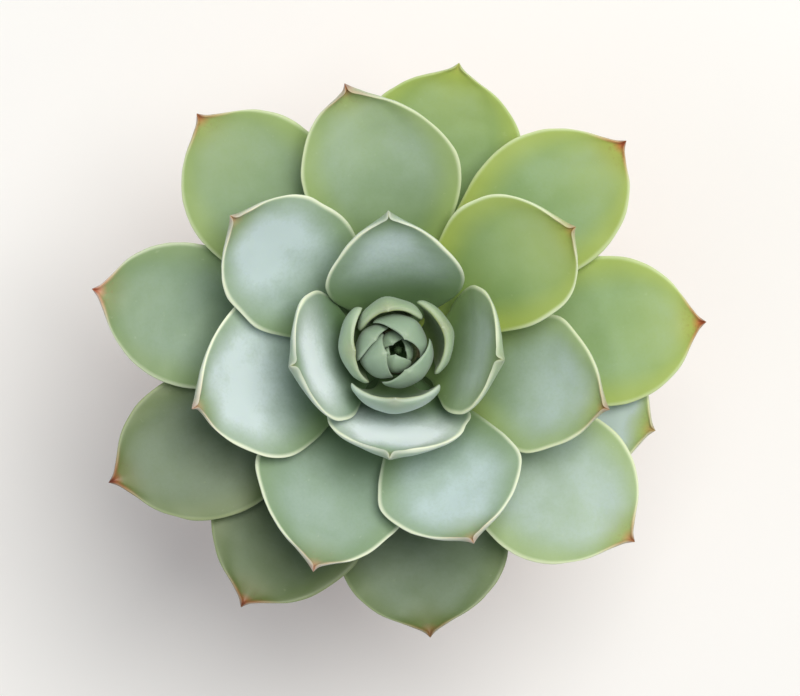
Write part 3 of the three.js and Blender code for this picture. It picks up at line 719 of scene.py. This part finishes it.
def build_pot():
    """The pot: its outline turned finely, softened at the corners, ringed and a little out of round.

    The rings are a sine wave of the height, 2.6 mm long and 0.035 mm high, and the roundness is off by
    0.05 mm times a wave with two lobes and half a wave with three. It all lies 0.07 mm inside the outline.
    """
    outline, closed = meridian("pot")
    points, faces = turned(even_outline(outline, POT_STEP, 1), POT_SIDES, closed)
    angle = np.arctan2(points[:, 1], points[:, 0])
    ring = np.sin(points[:, 2] / MM * 2 * math.pi / 2.6 + 0.4 * np.sin(angle))
    round_off = np.sin(2 * angle + 0.6) + 0.5 * np.sin(3 * angle + 2.0)
    points = pushed_out(points, (0.035 * ring + 0.05 * round_off - 0.07) * MM)
    make_piece("clay_pot", points, faces, terracotta(), ["pot"])


def build_soil():
    """The soil: its turned outline, its top moved up and down by waves 6, 2.6 and 1.4 mm long as clods.

    They fade out towards the top's edge and down its side.
    """
    outline, closed = meridian("soil")
    points, faces = turned(even_outline(outline, SOIL_STEP, 1), POT_SIDES, closed)
    _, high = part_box("soil")
    radius = np.hypot(points[:, 0], points[:, 1])
    on_top = smooth(points[:, 2], high.z - 4.5 * MM, high.z - 2.6 * MM)
    on_top *= 1 - smooth(radius, 0.94 * high.x, high.x)
    clods = 0.5 * waves(points / MM, 6.0, 11) + 0.35 * waves(points / MM, 2.6, 12)
    clods += 0.25 * waves(points / MM, 1.4, 13)
    points[:, 2] += clods * on_top * MM
    make_piece("potting_soil", points, faces, potting_mix(), ["soil"])


def scatter(name, count, size, stretch, seed, material):
    """Many small crumbs in one mesh, strewn evenly on the soil between stem and pot.

    Each is an icosahedron's 12 corners, moved in and out by up to a quarter, stretched, tilted about x by
    a small normal angle, turned about z by any angle, and moved to its place.
    """
    rng = np.random.default_rng(seed)
    gold = (1 + math.sqrt(5)) / 2
    corners = np.array([[s, t * gold, 0] for s in (-1, 1) for t in (-1, 1)], float)
    corners = np.concatenate([corners, np.roll(corners, 1, axis=1), np.roll(corners, 2, axis=1)])
    corners /= np.linalg.norm(corners[0])
    work = bmesh.new()
    for corner in corners:
        work.verts.new(corner)
    bmesh.ops.convex_hull(work, input=work.verts)
    work.verts.ensure_lookup_table()
    triangles = np.array([[v.index for v in f.verts] for f in work.faces])
    corners = np.array([v.co for v in work.verts])
    work.free()

    _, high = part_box("soil")
    _, stem_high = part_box("stem")
    turn = rng.uniform(0, 2 * math.pi, count)
    inner, outer = stem_high.x + STEM_MARGIN, high.x - POT_MARGIN
    radius = np.sqrt(rng.uniform(inner**2, outer**2, count))
    rise = np.interp(radius, [0, high.x], [high.z, high.z - SOIL_FALL])
    centre = np.stack([radius * np.cos(turn), radius * np.sin(turn), rise - 0.1 * MM], -1)
    shape = corners[None] * rng.uniform(0.75, 1.25, (count, len(corners), 1))
    shape = shape * (np.array(stretch) * rng.uniform(0.6, 1.3, (count, 1)) * size)[:, None]
    spin = rng.uniform(0, 2 * math.pi, count)
    tilt = rng.normal(0, 0.35, count)
    zero, one = np.zeros(count), np.ones(count)
    about_z = np.stack([
        np.cos(spin), -np.sin(spin), zero,
        np.sin(spin), np.cos(spin), zero,
        zero, zero, one], -1)
    about_x = np.stack([
        one, zero, zero,
        zero, np.cos(tilt), -np.sin(tilt),
        zero, np.sin(tilt), np.cos(tilt)], -1)
    turn_all = about_z.reshape(-1, 3, 3) @ about_x.reshape(-1, 3, 3)
    points = np.einsum("nij,nvj->nvi", turn_all, shape) + centre[:, None]
    faces = triangles[None] + (np.arange(count) * len(corners))[:, None, None]
    make_piece(name, points.reshape(-1, 3), [faces.reshape(-1, 3)], material, flat=True)


def build_stem():
    """The stem: its turned outline with the diamond scars of fallen leaves, 0.16 mm inside the node.

    The scars are the product of two waves that climb round it in opposite ways, five lobes and four, and
    a finer wave 2 mm long roughens them.
    """
    outline, closed = meridian("stem")
    points, faces = turned(even_outline(outline, STEM_STEP, 1), STEM_SIDES, closed)
    angle = np.arctan2(points[:, 1], points[:, 0])
    climb = 1.1 * points[:, 2] / MM
    scars = np.sin(5 * angle + climb) * np.sin(-4 * angle + climb)
    points = pushed_out(points, (0.12 * scars - 0.16 + 0.04 * waves(points / MM, 2.0, 21)) * MM)
    make_piece("corky_stem", points, faces, stem_bark(), ["stem"])


# ---------------------------------------------------------------- camera, light and floor

SENSOR_WIDTH, LENS = 36.0, 148.8  # millimetres
CAMERA_PLACE = (0.42 * MM, 0.42 * MM, 790 * MM)
# Each lamp's place and size in metres, power in watts and colour.
LAMPS = {
    "window": ((0.30, 0.34, 1.16), 0.75, 12.2, "fffbf4"),
    "bounce": ((-0.7, -0.3, 0.8), 0.8, 1.0, "eef4ff"),
}
SKY_COLOUR, SKY_STRENGTH = "f4f6f8", 0.44
FLOOR_REACH = 4.0  # metres from the middle to each side


def set_camera():
    """A camera straight above the rosette, looking down, its image's top towards +y."""
    eye = bpy.data.cameras.new("camera")
    eye.sensor_width = SENSOR_WIDTH
    eye.lens = LENS
    camera = bpy.data.objects.new("camera", eye)
    camera.location = CAMERA_PLACE
    bpy.context.scene.collection.objects.link(camera)
    bpy.context.scene.camera = camera


def add_lamp(name, place, size, power, colour):
    """A square area light aimed at the middle of the object."""
    lamp = bpy.data.lights.new(name, "AREA")
    lamp.size = size
    lamp.energy = power
    lamp.color = linear(colour)[:3]
    holder = bpy.data.objects.new(name, lamp)
    holder.location = place
    aim = (CAD_BOX[0] + CAD_BOX[1]) / 2 - holder.location
    holder.rotation_euler = aim.to_track_quat("-Z", "Y").to_euler()
    bpy.context.scene.collection.objects.link(holder)


def set_light():
    """Soft studio light: a window-like lamp above the upper right, a weak one opposite, and a pale sky."""
    for name, lamp in LAMPS.items():
        add_lamp(name, *lamp)
    world = bpy.data.worlds.new("pale_sky")
    world.use_nodes = True
    sky = world.node_tree.nodes["Background"]
    sky.inputs["Color"].default_value = linear(SKY_COLOUR)
    sky.inputs["Strength"].default_value = SKY_STRENGTH
    bpy.context.scene.world = world
    bpy.context.scene.view_settings.view_transform = "Standard"


def set_floor():
    """A wide pale floor at z = 0, of matt painted board with a faint mottle."""
    material, node = new_material("painted_board_matt")
    place = node("place").outputs["Object"]
    mottle = node("noise", {"Vector": place, "Scale": 1 / (120 * MM), "Detail": 3.0})
    colour = node("mix", {SHARE: mottle, UNDER: linear("f0f0ef"), OVER: linear("f6f6f5")}).outputs[MIXED]
    node("output", {"Surface": node("shader", {"Base Color": colour, "Roughness": 0.85})})
    mesh = bpy.data.meshes.new("floor")
    corners = [(x * FLOOR_REACH, y * FLOOR_REACH, 0) for x, y in ((-1, -1), (1, -1), (1, 1), (-1, 1))]
    mesh.from_pydata(corners, [], [(0, 1, 2, 3)])
    mesh.materials.append(material)
    floor = bpy.data.objects.new("floor", mesh)
    bpy.context.scene.collection.objects.link(floor)


set_camera()
set_light()
set_floor()
for number, leaf in enumerate(LEAF_NODES):
    leaf_piece(leaf, LEAF_SKINS[SLOT_OF[leaf]], 100 + 10 * number)
build_pot()
build_soil()
build_stem()
scatter("soil_grit", 420, 0.9 * MM, (1.0, 0.9, 0.7), 31, crumb_stone("pumice_grit", "8d8478", "c9c2b4", 0.9))
scatter("soil_bark", 160, 1.5 * MM, (1.5, 0.7, 0.4), 32, crumb_stone("bark_chips", "3d2a1c", "6f5238", 0.85))
